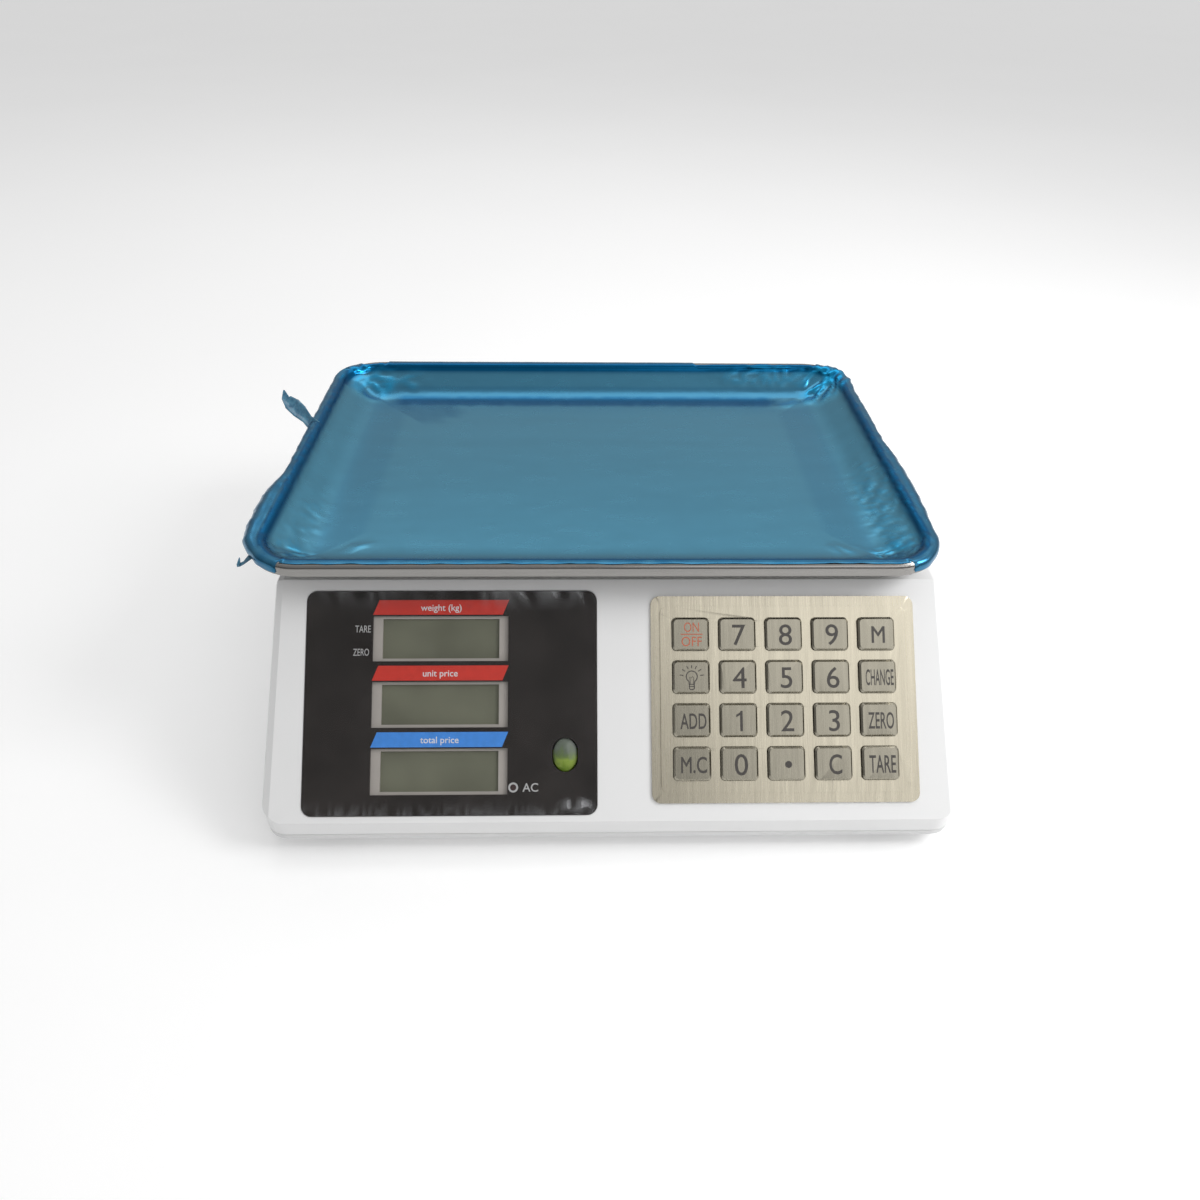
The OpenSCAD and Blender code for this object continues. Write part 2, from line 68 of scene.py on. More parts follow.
def new_material(name, color, roughness, metallic=0.0, **sockets):
    """A Principled material; sockets are further inputs, with _ for a space."""
    mat = bpy.data.materials.new(name)
    mat.use_nodes = True
    shader = shader_of(mat)
    shader.inputs["Base Color"].default_value = (*color, 1)
    shader.inputs["Roughness"].default_value = roughness
    shader.inputs["Metallic"].default_value = metallic
    for key, value in sockets.items():
        shader.inputs[key.replace("_", " ")].default_value = value
    return mat


def add_noise(mat, scale, stretch=(1, 1, 1), detail=4.0):
    """A noise in the object's own metres, finer along the axes with a larger stretch."""
    tree = mat.node_tree
    coords = tree.nodes.new("ShaderNodeTexCoord")
    mapping = tree.nodes.new("ShaderNodeMapping")
    mapping.inputs["Scale"].default_value = [scale * s for s in stretch]
    texture = tree.nodes.new("ShaderNodeTexNoise")
    texture.inputs["Scale"].default_value = 1.0
    texture.inputs["Detail"].default_value = detail
    tree.links.new(coords.outputs["Object"], mapping.inputs["Vector"])
    tree.links.new(mapping.outputs["Vector"], texture.inputs["Vector"])
    return texture.outputs["Fac"]


def remap(tree, source, low, high, near=0.3, far=0.7):
    """The range from near to far, which most of a noise falls in, taken to low to high."""
    node = tree.nodes.new("ShaderNodeMapRange")
    node.inputs["From Min"].default_value = near
    node.inputs["From Max"].default_value = far
    node.inputs["To Min"].default_value = low
    node.inputs["To Max"].default_value = high
    tree.links.new(source, node.inputs["Value"])
    return node.outputs["Result"]


MIX_FIRST, MIX_SECOND, MIX_RESULT = 6, 7, 2  # the colour sockets of a Mix node


def mix_colors(tree, factor, first, second):
    """A blend of two colours, each a tuple or an output socket."""
    node = tree.nodes.new("ShaderNodeMix")
    node.data_type = "RGBA"
    tree.links.new(factor, node.inputs["Factor"])
    for index, value in ((MIX_FIRST, first), (MIX_SECOND, second)):
        if isinstance(value, tuple):
            node.inputs[index].default_value = (*value, 1)
        else:
            tree.links.new(value, node.inputs[index])
    return node.outputs[MIX_RESULT]


def add_bump(mat, source, depth, into=None):
    """Relief of that depth in metres, on the material's own shader unless another is given."""
    tree = mat.node_tree
    bump = tree.nodes.new("ShaderNodeBump")
    bump.inputs["Distance"].default_value = depth
    tree.links.new(source, bump.inputs["Height"])
    tree.links.new(bump.outputs["Normal"], (into or shader_of(mat)).inputs["Normal"])


def shade(color, amount):
    return tuple(max(0.0, min(1.0, c * amount)) for c in color)


def worked(name, color, roughness, metallic=0.0, patch=60, spread=0.06, grain=1500,
           stretch=(1, 1, 1), depth=0.02, rough_spread=0.08, **sockets):
    """A surface with soft patches of colour and a fine grain in its gloss and relief."""
    mat = new_material(name, color, roughness, metallic, **sockets)
    tree = mat.node_tree
    patches = remap(tree, add_noise(mat, patch), 0, 1)
    tint = mix_colors(tree, patches, shade(color, 1 - spread), shade(color, 1 + spread))
    tree.links.new(tint, shader_of(mat).inputs["Base Color"])
    fine = add_noise(mat, grain, stretch, 3.0)
    rough = remap(tree, fine, roughness - rough_spread, roughness + rough_spread)
    tree.links.new(rough, shader_of(mat).inputs["Roughness"])
    add_bump(mat, fine, depth * MM)
    return mat


ACROSS_SLOPE = (1, 0.02, 0.02)  # noise stretches: scratches run along the small numbers
ALONG_X = (0.02, 1, 1)
SCRATCH_MM = 0.012  # depth of the scratches
BROAD_SHARE = 0.12  # scale of the broad streaks, as a share of the scratches'


def brushed(name, color, roughness, along, grain, spread=0.10):
    """Metal with fine parallel scratches and broad streaks of colour."""
    mat = new_material(name, color, roughness, 1.0)
    tree = mat.node_tree
    lines = add_noise(mat, grain, along, 2.0)
    broad = remap(tree, add_noise(mat, grain * BROAD_SHARE, along, 2.0), 0, 1)
    tint = mix_colors(tree, broad, shade(color, 1 - spread), shade(color, 1 + spread * 0.6))
    tree.links.new(tint, shader_of(mat).inputs["Base Color"])
    rough = remap(tree, lines, roughness - 0.08, roughness + 0.1)
    tree.links.new(rough, shader_of(mat).inputs["Roughness"])
    add_bump(mat, lines, SCRATCH_MM * MM)
    return mat


def attribute(mat, name):
    """A value that each point of the mesh carries under that name."""
    node = mat.node_tree.nodes.new("ShaderNodeAttribute")
    node.attribute_name = name
    return node.outputs["Fac"]


def blue_film():
    """Blue protective film on steel, with painted shade where its reflections run darker and, where it has come
    away, a lighter colour that is partly its real look and partly a painted highlight.
    """
    # The film's own colour, the colour of its painted shade, and its lighter colour where it has come away (partly
    # a painted highlight).
    floor, painted_shade_blue, lift_and_highlight_blue = (0.082, 0.265, 0.380), (0.001, 0.088, 0.210), (0.015, 0.320, 0.600)
    mat = new_material("blue_film", floor, 0.24, 0.93, Coat_Weight=0.03, Coat_Roughness=0.12,
                       Specular_IOR_Level=0.3)
    tree = mat.node_tree
    streaks = remap(tree, add_noise(mat, 70, (0.10, 1, 1), 3.0), 0, 1)
    base = mix_colors(tree, streaks, shade(floor, 0.965), shade(floor, 1.03))
    # Painted shade: the film is darkened towards the second colour where its reflections run darker.
    with_painted_shade = mix_colors(tree, attribute(mat, "painted_shade"), base, painted_shade_blue)
    # Where the film has come away it is lightened towards the third colour, partly its real look and partly a
    # painted highlight.
    with_lift_and_highlight = mix_colors(tree, attribute(mat, "lift"), with_painted_shade, lift_and_highlight_blue)
    tree.links.new(with_lift_and_highlight, shader_of(mat).inputs["Base Color"])
    fine = add_noise(mat, 160, (0.4, 1, 1), 2.0)
    tree.links.new(remap(tree, fine, 0.23, 0.28), shader_of(mat).inputs["Roughness"])
    add_bump(mat, fine, 0.012 * MM)
    return mat


def loose_film():
    """The same film where nothing is behind it."""
    mat = new_material("loose_film", (0.04, 0.26, 0.42), 0.2, 0.0, Alpha=0.9,
                       Coat_Weight=0.4, Coat_Roughness=0.1)
    tree = mat.node_tree
    creases = add_noise(mat, 420, (1, 0.4, 1), 3.0)
    tint = mix_colors(tree, remap(tree, creases, 0, 1), (0.012, 0.10, 0.19), (0.05, 0.21, 0.32))
    tree.links.new(tint, shader_of(mat).inputs["Base Color"])
    add_bump(mat, creases, 0.1 * MM)
    return mat


def clear_film():
    """Clear film: what is behind it, and a weak mirror that shows its wrinkles, its strength raised at the folds
    and towards the right as a painted highlight and painted reflection.
    """
    mat = bpy.data.materials.new("clear_film")
    mat.use_nodes = True
    tree = mat.node_tree
    tree.nodes.remove(shader_of(mat))
    output = tree.nodes["Material Output"]
    clear = tree.nodes.new("ShaderNodeBsdfTransparent")
    clear.inputs["Color"].default_value = (0.97, 0.97, 0.97, 1)
    mirror = tree.nodes.new("ShaderNodeBsdfGlossy")
    mirror.inputs["Roughness"].default_value = 0.12
    mirror.inputs["Color"].default_value = (0.95, 0.97, 1.0, 1)
    # The crease attribute sets how much of the mirror shows: painted highlight on the folds, painted reflection
    # towards the right.
    crease = remap(tree, attribute(mat, "crease"), 0.005, 0.26, 0, 1)
    blend = tree.nodes.new("ShaderNodeMixShader")
    tree.links.new(crease, blend.inputs["Fac"])
    tree.links.new(clear.outputs["BSDF"], blend.inputs[1])
    tree.links.new(mirror.outputs["BSDF"], blend.inputs[2])
    tree.links.new(blend.outputs["Shader"], output.inputs["Surface"])
    add_bump(mat, add_noise(mat, 240, detail=2.0), 0.04 * MM, into=mirror)
    return mat


def lcd_glass():
    """Grey-green LCD with its faint pixel rows and soft patches."""
    color = (0.158, 0.163, 0.119)
    mat = new_material("lcd_glass", color, 0.22, Specular_IOR_Level=0.3)
    tree = mat.node_tree
    soft = remap(tree, add_noise(mat, 45, detail=1.0), 0, 1)
    tint = mix_colors(tree, soft, shade(color, 0.86), shade(color, 1.08))
    tree.links.new(tint, shader_of(mat).inputs["Base Color"])
    rows = add_noise(mat, 900, (0.3, 1, 1), 1.0)
    tree.links.new(remap(tree, rows, 0.18, 0.26), shader_of(mat).inputs["Roughness"])
    return mat


def level_liquid():
    """The level's liquid seen through its lens: yellow-green below, greyer above."""
    mat = new_material("level_liquid", (0.3, 0.45, 0.06), 0.15, Coat_Weight=0.5)
    tree = mat.node_tree
    cloud = remap(tree, add_noise(mat, 260, detail=3.0), -0.14, 0.14)
    high = tree.nodes.new("ShaderNodeMath")
    tree.links.new(attribute(mat, "high"), high.inputs[0])
    tree.links.new(cloud, high.inputs[1])
    ramp = tree.nodes.new("ShaderNodeValToRGB")
    stops = [(0.0, (0.12, 0.22, 0.01)), (0.25, (0.25, 0.35, 0.05)), (0.5, (0.11, 0.17, 0.05)),
             (0.7, (0.11, 0.14, 0.10)), (1.0, (0.17, 0.20, 0.17))]
    while len(ramp.color_ramp.elements) < len(stops):
        ramp.color_ramp.elements.new(0.5)
    for element, (place, color) in zip(ramp.color_ramp.elements, stops):
        element.position, element.color = place, (*color, 1)
    tree.links.new(high.outputs["Value"], ramp.inputs["Fac"])
    tree.links.new(ramp.outputs["Color"], shader_of(mat).inputs["Base Color"])
    return mat


def ink(name, color, roughness=0.4):
    """Printing ink and paint."""
    return worked(name, color, roughness, patch=300, spread=0.07, grain=4000, depth=0.004,
                  rough_spread=0.05)


paints = {
    "abs_white": worked("abs_white", (0.86, 0.86, 0.86), 0.42, patch=14, spread=0.015,
                        grain=2600, depth=0.012),
    "abs_base": worked("abs_base", (0.74, 0.74, 0.74), 0.5, patch=20, spread=0.03, grain=1800,
                       depth=0.02),
    "stainless_pan": brushed("stainless_pan", (0.29, 0.283, 0.272), 0.2, ALONG_X, 2600, 0.06),
    "blue_film": blue_film(),
    "loose_film": loose_film(),
    "clear_film": clear_film(),
    "panel_black": worked("panel_black", (0.030, 0.0265, 0.025), 0.16, patch=30, spread=0.3,
                          grain=500, depth=0.004, rough_spread=0.03, Specular_IOR_Level=0.17),
    "frame_grey": worked("frame_grey", (0.42, 0.39, 0.36), 0.45, patch=90, spread=0.05),
    "level_liquid": level_liquid(),
    "lcd_glass": lcd_glass(),
    "lamp_red": worked("lamp_red", (0.06, 0.035, 0.035), 0.2, patch=700, spread=0.3),
    "vial_green": worked("vial_green", (0.36, 0.50, 0.07), 0.12, patch=160, spread=0.2,
                         grain=700, Coat_Weight=0.6),
    "keypad_metal": brushed("keypad_metal", (0.55, 0.507, 0.405), 0.28, ACROSS_SLOPE, 3500,
                            0.08),
    "key_metal": brushed("key_metal", (0.33, 0.308, 0.25), 0.25, ACROSS_SLOPE, 4200, 0.08),
    "silicone_grey": worked("silicone_grey", (0.17, 0.17, 0.17), 0.6),
    "board_green": worked("board_green", (0.02, 0.13, 0.05), 0.35, patch=400, spread=0.3),
    "cast_aluminium": worked("cast_aluminium", (0.55, 0.56, 0.57), 0.42, 1.0, patch=200,
                             spread=0.1, grain=1200, depth=0.05),
    "cushion_rubber": worked("cushion_rubber", (0.02, 0.02, 0.02), 0.7, spread=0.2),
    "cell_aluminium": brushed("cell_aluminium", (0.6, 0.63, 0.68), 0.3, ALONG_X, 2500),
    "steel_grey": worked("steel_grey", (0.45, 0.45, 0.46), 0.35, 1.0, spread=0.08),
    "bolt_zinc": worked("bolt_zinc", (0.62, 0.62, 0.58), 0.3, 1.0, patch=300, spread=0.12),
    "battery_grey": worked("battery_grey", (0.035, 0.035, 0.04), 0.5, spread=0.12),
    "transformer_iron": worked("transformer_iron", (0.06, 0.06, 0.06), 0.4, 0.6, patch=300,
                               spread=0.3, grain=2500, stretch=(0.1, 1, 1)),
    "inlet_black": worked("inlet_black", (0.012, 0.012, 0.012), 0.45, spread=0.2),
    "foot_rubber": worked("foot_rubber", (0.015, 0.015, 0.015), 0.75, spread=0.25),
    "foot_plastic": worked("foot_plastic", (0.03, 0.03, 0.03), 0.5, spread=0.15),
    "ink_white": ink("ink_white", (0.72, 0.72, 0.74)),
    "ink_red": ink("ink_red", (0.60, 0.035, 0.022)),
    "ink_blue": ink("ink_blue", (0.055, 0.26, 0.75)),
    "ink_key": ink("ink_key", (0.058, 0.052, 0.047), 0.5),
    "ink_orange": ink("ink_orange", (0.50, 0.13, 0.07), 0.5),
    "ink_pale": ink("ink_pale", (0.46, 0.46, 0.46)),
}


def paint(obj, mat):
    """Gives the whole object that one material."""
    if not obj.material_slots:
        obj.data.materials.append(mat)
    for slot in obj.material_slots:
        slot.material = mat


for node, obj in nodes.items():
    paint(obj, paints[slot_of[node]])


# ---------------------------------------------------------------- making pieces
def link_piece(name, mesh, mat, body):
    """Puts a mesh in the scene as a piece that rides a body and belongs to a material slot."""
    obj = bpy.data.objects.new(name, mesh)
    bpy.context.scene.collection.objects.link(obj)
    paint(obj, mat)
    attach(obj, body)
    return obj


def mesh_from(name, points, faces, smooth=True):
    mesh = bpy.data.meshes.new(name)
    mesh.from_pydata([tuple(p) for p in points], [], faces)
    mesh.update()
    if smooth:
        mesh.shade_smooth()
    return mesh


class Place:
    """A flat place on the object: its middle, and its axes to the right, up and outward."""

    def __init__(self, centre, right=RIGHT, up=UP, out=OUT):
        self.centre, self.right, self.up, self.out = centre, right, up, out

    def at(self, across, up, out=0.0):
        """The point that many millimetres across, up and out from the middle."""
        return self.centre + (self.right * across + self.up * up + self.out * out) * MM

    def moved(self, across, up, out=0.0):
        return Place(self.at(across, up, out), self.right, self.up, self.out)


FLAT_MM = 0.02  # points within this of the furthest one are on the same face


def face_centre(node):
    """Middle of the face of a node that is furthest out of the slope."""
    points = [v.co for v in nodes[node].data.vertices]
    top = max(p.dot(OUT) for p in points)
    face = [p for p in points if p.dot(OUT) > top - FLAT_MM * MM]
    low = Vector(map(min, zip(*face)))
    high = Vector(map(max, zip(*face)))
    return (low + high) / 2


PRINT_MM = 0.03  # thickness of printing and paint


def slab(outline, place):
    """Points and faces of a flat outline in millimetres, printed on a place."""
    count = len(outline)
    points = [place.at(x, y, h) for h in (0, PRINT_MM) for x, y in outline]
    faces = [tuple(range(count, 2 * count)), tuple(range(count - 1, -1, -1))]
    faces += [(i, (i + 1) % count, count + (i + 1) % count, count + i) for i in range(count)]
    return points, faces


def ribbon(line, width, place, closed=False):
    """Points and faces of a printed stroke of that width along a line of points, in mm."""
    count = len(line)
    left, right = [], []
    for i, (x, y) in enumerate(line):
        before = line[i - 1] if closed or i else line[i]
        after = line[(i + 1) % count] if closed or i < count - 1 else line[i]
        dx, dy = after[0] - before[0], after[1] - before[1]
        size = math.hypot(dx, dy) or 1.0
        nx, ny = -dy / size * width / 2, dx / size * width / 2
        left.append((x + nx, y + ny))
        right.append((x - nx, y - ny))
    points = [place.at(x, y, h) for h in (0, PRINT_MM) for x, y in left + right]
    faces = []
    for i in range(count if closed else count - 1):
        j, top = (i + 1) % count, 2 * count
        faces += [(top + i, top + count + i, top + count + j, top + j),
                  (i, j, count + j, count + i), (i, top + i, top + j, j),
                  (count + j, top + count + j, top + count + i, count + i)]
    if not closed:
        last, top = count - 1, 2 * count
        faces += [(0, count, top + count, top), (last, top + last, top + count + last,
                                                 count + last)]
    return points, faces


def circle(x, y, rx, ry=None, start=0, turn=360, count=32):
    """Points round an ellipse or along a part of it, from and through those degrees."""
    ends = count if turn == 360 else count + 1
    return [(x + rx * math.cos(math.radians(start + turn * i / count)),
             y + (ry or rx) * math.sin(math.radians(start + turn * i / count)))
            for i in range(ends)]


CAP_HEIGHT = 0.69  # of the lettering's capitals and digits, in its own units
FONT_DEPTH, FONT_STEPS = 0.01, 4
BOLD_SIDE, BOLD_DIGIT, BOLD_LABEL, BOLD_KEY = 0.002, 0.003, 0.008, 0.010  # added to strokes


def letters(words, place, width, height, bold=0.0):
    """Points and faces of lettering with capitals that high, in mm, and that wide if given."""
    curve = bpy.data.curves.new("letters", "FONT")
    curve.body, curve.extrude, curve.resolution_u = words, FONT_DEPTH, FONT_STEPS
    curve.bevel_depth, curve.bevel_resolution = bold, 0
    text = bpy.data.objects.new("letters", curve)
    bpy.context.scene.collection.objects.link(text)
    bpy.context.view_layer.update()
    mesh = bpy.data.meshes.new_from_object(
        text.evaluated_get(bpy.context.evaluated_depsgraph_get()))
    low = [min(v.co[k] for v in mesh.vertices) for k in range(3)]
    high = [max(v.co[k] for v in mesh.vertices) for k in range(3)]
    scale = height / CAP_HEIGHT
    stretch = width / (high[0] - low[0]) if width else scale
    middle = (low[0] + high[0]) / 2
    points = [place.at((v.co.x - middle) * stretch, (v.co.y - CAP_HEIGHT / 2) * scale,
                       (v.co.z - low[2]) / (high[2] - low[2]) * PRINT_MM) for v in mesh.vertices]
    faces = [tuple(p.vertices) for p in mesh.polygons]
    bpy.data.objects.remove(text)
    bpy.data.curves.remove(curve)
    bpy.data.meshes.remove(mesh)
    return points, faces


def joined(*parts):
    """Several (points, faces) as one."""
    points, faces = [], []
    for more_points, more_faces in parts:
        faces += [tuple(i + len(points) for i in face) for face in more_faces]
        points += more_points
    return points, faces


def printed(name, mat, body, slot, *parts):
    """One piece of printing made of several parts."""
    points, faces = joined(*parts)
    return link_piece(name, mesh_from(name, points, faces, smooth=False), paints[mat], body)


# ---------------------------------------------------------------- display panel printing
panel_low, panel_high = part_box("display_panel")
PANEL_THICK = 1.4
panel = Place((panel_low + panel_high) / 2).moved(0, 0, PANEL_THICK / 2)
PANEL_W, PANEL_H = 142.5, 109.0
STRIP_X, WINDOW_Y, WINDOW_PITCH = -5.4, -1.3, -32.3  # of the strips and the middle window
STRIP_W, STRIP_H, STRIP_LEAN, STRIP_RISE = 63.8, 7.3, 3.0, 15.4
LABEL_DROP, LABEL_H, SIDE_H, AC_H = 0.1, 3.1, 3.4, 4.0
LAMP_X, LAMP_Y, LAMP_R, LAMP_RING = 30.6, -41.3, 1.95, 0.9

labels = ("weight (kg)", "unit price", "total price")
for row, (words, color) in enumerate(zip(labels, ("ink_red", "ink_red", "ink_blue"))):
    strip = panel.moved(STRIP_X, WINDOW_Y + (row - 1) * WINDOW_PITCH + STRIP_RISE)
    half, lean = STRIP_W / 2, STRIP_LEAN / 2
    outline = [(-half - lean, -STRIP_H / 2), (half - lean, -STRIP_H / 2),
               (half + lean, STRIP_H / 2), (-half + lean, STRIP_H / 2)]
    name = words.split(" ")[0]
    printed("strip_" + name, color, "base", "panel_black", slab(outline, strip))
    printed("strip_words_" + name, "ink_white", "base", "panel_black",
            letters(words, strip.moved(0, -LABEL_DROP, PRINT_MM), None, LABEL_H, BOLD_LABEL))

printed("panel_words", "ink_pale", "base", "panel_black",
        letters("TARE", panel.moved(-43.6, 35.8), 7.6, SIDE_H, BOLD_SIDE),
        letters("ZERO", panel.moved(-44.3, 24.4), 7.8, SIDE_H, BOLD_SIDE),
        letters("AC", panel.moved(LAMP_X + 8.3, LAMP_Y), 7.6, AC_H, BOLD_LABEL),
        ribbon(circle(LAMP_X, LAMP_Y, LAMP_R), LAMP_RING, panel, closed=True))

# ---------------------------------------------------------------- key legends
def key_top(key, across, up):
    """The place on top of a key, that many millimetres from its middle."""
    return Place(face_centre("key_" + key)).moved(across, up)


def legend(key, mat, *parts):
    printed("legend_" + key, mat, body_of["key_" + key], "key_metal", *parts)


LEGEND_SHIFT = (0.7, -0.4)  # the legends sit a little to the right of and below the middle
DIGITS, DIGIT_H, DOT_R = "023456789", 10.1, 1.7
words_of = {
    **{digit: (digit, None, DIGIT_H) for digit in DIGITS},
    "c": ("C", 6.3, 9.3), "m": ("M", 6.6, 8.1), "add": ("ADD", 12.8, 7.4),
    "mc": ("M.C", 12.6, 7.6), "change": ("CHANGE", 13.8, 7.6), "zero": ("ZERO", 12.6, 7.8),
    "tare": ("TARE", 13.0, 8.3),
}
for key, (words, width, height) in words_of.items():
    bold = BOLD_DIGIT if key in DIGITS else BOLD_KEY
    legend(key, "ink_key", letters(words, key_top(key, *LEGEND_SHIFT), width, height, bold))

# The font's own 1 is a bare stroke, so this one is drawn with its flag.
ONE = [(-0.2, -4.95), (1.1, -4.95), (1.1, 4.95), (0.25, 4.95), (-0.5, 3.9), (-2.1, 3.0),
       (-2.1, 1.8), (-0.2, 2.8)]
legend("1", "ink_key", slab(ONE, key_top("1", *LEGEND_SHIFT)))
legend("dot", "ink_key", slab(circle(0, 0, DOT_R), key_top("dot", *LEGEND_SHIFT)))

top = key_top("on_off", 0.4, 0)
legend("on_off", "ink_orange", letters("ON", top.moved(0, 3.4), 7.4, 4.7),
       letters("OFF", top.moved(0, -3.6), 10.0, 4.7),
       ribbon([(-5.4, -0.1), (5.4, -0.1)], 0.5, top))

# A light bulb with rays: glass, cap, two bands on the cap, and a filament.
top = key_top("light", 0.2, -0.6)
GLASS_R, GLASS_Y, RAY_FROM, RAY_TO_X, RAY_TO_Y = 2.7, 0.8, 4.1, 6.0, 5.6
bulb = [ribbon(circle(0, GLASS_Y, GLASS_R, start=-58, turn=296), 0.5, top),
        ribbon([(1.43, -1.5), (1.2, -3.0), (1.2, -4.9), (0.6, -5.5), (-0.6, -5.5), (-1.2, -4.9),
                (-1.2, -3.0), (-1.43, -1.5)], 0.5, top),
        ribbon([(-1.2, -3.0), (1.2, -3.0)], 0.4, top),
        ribbon([(-1.2, -4.0), (1.2, -4.0)], 0.4, top),
        ribbon([(-0.7, -2.8), (-1.0, 0.6), (-0.3, 0.0), (0.3, 0.8), (1.0, 0.2), (0.7, -2.8)],
               0.3, top)]
for degrees in (8, 39, 66, 90, 114, 141, 172):
    c, s = math.cos(math.radians(degrees)), math.sin(math.radians(degrees))
    bulb.append(ribbon([(RAY_FROM * c, GLASS_Y + RAY_FROM * s),
                        (RAY_TO_X * c, GLASS_Y + RAY_TO_Y * s)], 0.45, top))
legend("light", "ink_key", *bulb)

# ---------------------------------------------------------------- pan film
pan_low, pan_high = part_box("weighing_pan")
pan_mid = (pan_low + pan_high) / 2
PAN = Place(Vector((pan_mid.x, pan_mid.y, pan_high.z)), RIGHT, BACK, SKY)
HALF_W, HALF_D = (pan_high.x - pan_low.x) / 2 / MM, (pan_high.y - pan_low.y) / 2 / MM
CORNER_R, DISH_DEPTH, RIM_R, RIM_H = 28.0, 15.0, 2.5, 6.0
STEP = 2.0  # spacing of the film's points, mm
FILM_GAP = 0.35  # from the steel to the film, mm


def rim_walk():
    """Round the pan from the front left: (corner-centre rectangle point, outward direction)."""
    x, y = HALF_W - CORNER_R, HALF_D - CORNER_R
    corners = [(x, -y), (x, y), (-x, y), (-x, -y)]
    walk = []
    for side in range(4):
        start, end = Vector(corners[side - 1]), Vector(corners[side])
        angle = math.radians(side * 90 - 90)
        count = round((end - start).length / STEP)
        for i in range(count):
            walk.append((start.lerp(end, i / count), angle))
        turns = round(CORNER_R * math.pi / 2 / STEP)
        for i in range(turns):
            walk.append((end.copy(), angle + math.pi / 2 * i / turns))
    return walk


def curve_between(a, control, b, count=6):
    """A smooth bend from a to b, drawn towards the control point."""
    a, control, b = Vector(a), Vector(control), Vector(b)
    return [a.lerp(control, t).lerp(control.lerp(b, t), t) for t in
            (i / count for i in range(count + 1))]


def arc(x, z, radius, start, end, count=8):
    """Points of a round between two angles in degrees."""
    return [Vector((x + radius * math.cos(math.radians(start + (end - start) * i / count)),
                    z + radius * math.sin(math.radians(start + (end - start) * i / count))))
            for i in range(count + 1)]


# Section of the pan's upper face: (distance in from the pan's edge, height over its top).
wall_top, wall_foot = Vector((8.3, -4.0)), Vector((24.0, -DISH_DEPTH))
section = [Vector((0, -RIM_H))] + arc(RIM_R, -RIM_R, RIM_R, 180, 90)
section += arc(RIM_R + 2, -RIM_R, RIM_R, 90, 15)
section += curve_between(section[-1], wall_top, wall_top.lerp(wall_foot, 0.2))[1:]
section += curve_between(wall_top.lerp(wall_foot, 0.62), wall_foot, (31.0, -DISH_DEPTH))
section += [Vector((36, -DISH_DEPTH))]
RIM_TOP = RIM_R + 1.0  # the crown's distance in from the pan's edge


def cumulative(points):
    """The length along a line up to each of its points."""
    lengths = [0.0]
    for a, b in zip(points, points[1:]):
        lengths.append(lengths[-1] + (b - a).length)
    return lengths


section_at = cumulative(section)
crown = min(range(len(section)), key=lambda i: abs(section[i].x - RIM_TOP) + abs(section[i].y))
section_at = [s - section_at[crown] for s in section_at]


def on_section(s):
    """Point and outward normal at that length inward from the crown of the rim."""
    i = max(0, min(len(section) - 2, next((k for k, v in enumerate(section_at) if v > s),
                                          len(section)) - 1))
    a, b = section[i], section[i + 1]
    t = (s - section_at[i]) / (section_at[i + 1] - section_at[i])
    along = (b - a).normalized()
    return a.lerp(b, t), Vector((-along.y, along.x))


def bump_at(x, y, cx, cy, rx, ry):
    """1 at a place on the pan, falling smoothly to 0 at rx, ry millimetres from it."""
    q = ((x - cx) / rx) ** 2 + ((y - cy) / ry) ** 2
    return (1 - q) ** 2 * (1 + 2 * q) if q < 1 else 0.0


CREST = 2.6  # how sharp the crests of the folds are


def ridged(x, y, z, scale):
    """Sharp-crested folds of that size, 0 to 1."""
    value = noise.noise(Vector((x, y, z)) / scale)
    return max(0.0, 1 - abs(value) * CREST)


def ramp_up(value, length):
    """0 at 0, rising to 1 at that length and staying there."""
    return min(1.0, max(0.0, value / length))


# Where the film has wrinkled away: (x, y, reach in x, reach in y, height, fold size), in mm.
WRINKLES = [
    (-152, 97, 24, 20, 1.0, 11.0), (-128, 100, 22, 12, 0.7, 10.0),
    (157, 93, 22, 22, 1.6, 9.0), (118, 104, 48, 9, 0.7, 8.0), (130, 82, 18, 7, 0.8, 9.0),
    (154, -48, 14, 62, 0.65, 3.6), (-165, 10, 6, 110, 0.35, 5.0), (165, 10, 6, 110, 0.3, 5.0),
    (-121, -80, 9, 5, 0.5, 3.5), (127, -82, 12, 6, 0.6, 3.5), (-152, -62, 12, 44, 0.4, 4.0),
    (150, -92, 20, 16, 0.9, 4.5), (-150, -93, 18, 14, 0.7, 4.5),
]


# Loose folds that stand off the rim's outer side: (height, middle and reach along y), in mm.
LEFT_BULGE, RIGHT_BULGE, SIDE_FOLDS = (5.4, -66, 38), (2.6, -38, 46), 0.6
BARE = ((70, 152), (-156, -138))  # stretches of the back rim where the steel shows
BACK_REACH, BARE_REACH, FRONT_REACH, SIDE_REACH = 1.8, -2.4, 0.7, 6.0
BACK_ZONE, FRONT_ZONE, CORNER_ZONE = 14, 12, 20  # how far in from the pan's outline, mm


def film_reach(x, y):
    """How far the film goes over the rim, along the section from its crown."""
    wave = noise.noise(Vector((x, y, 3.0)) / 9.0)
    if y > HALF_D - BACK_ZONE:
        bare = any(low < x < high for low, high in BARE)
        return (BARE_REACH if bare else BACK_REACH) + 0.7 * wave
    if y < -HALF_D + FRONT_ZONE and abs(x) < HALF_W - CORNER_ZONE:
        return FRONT_REACH + 0.5 * wave
    return SIDE_REACH + 0.8 * wave


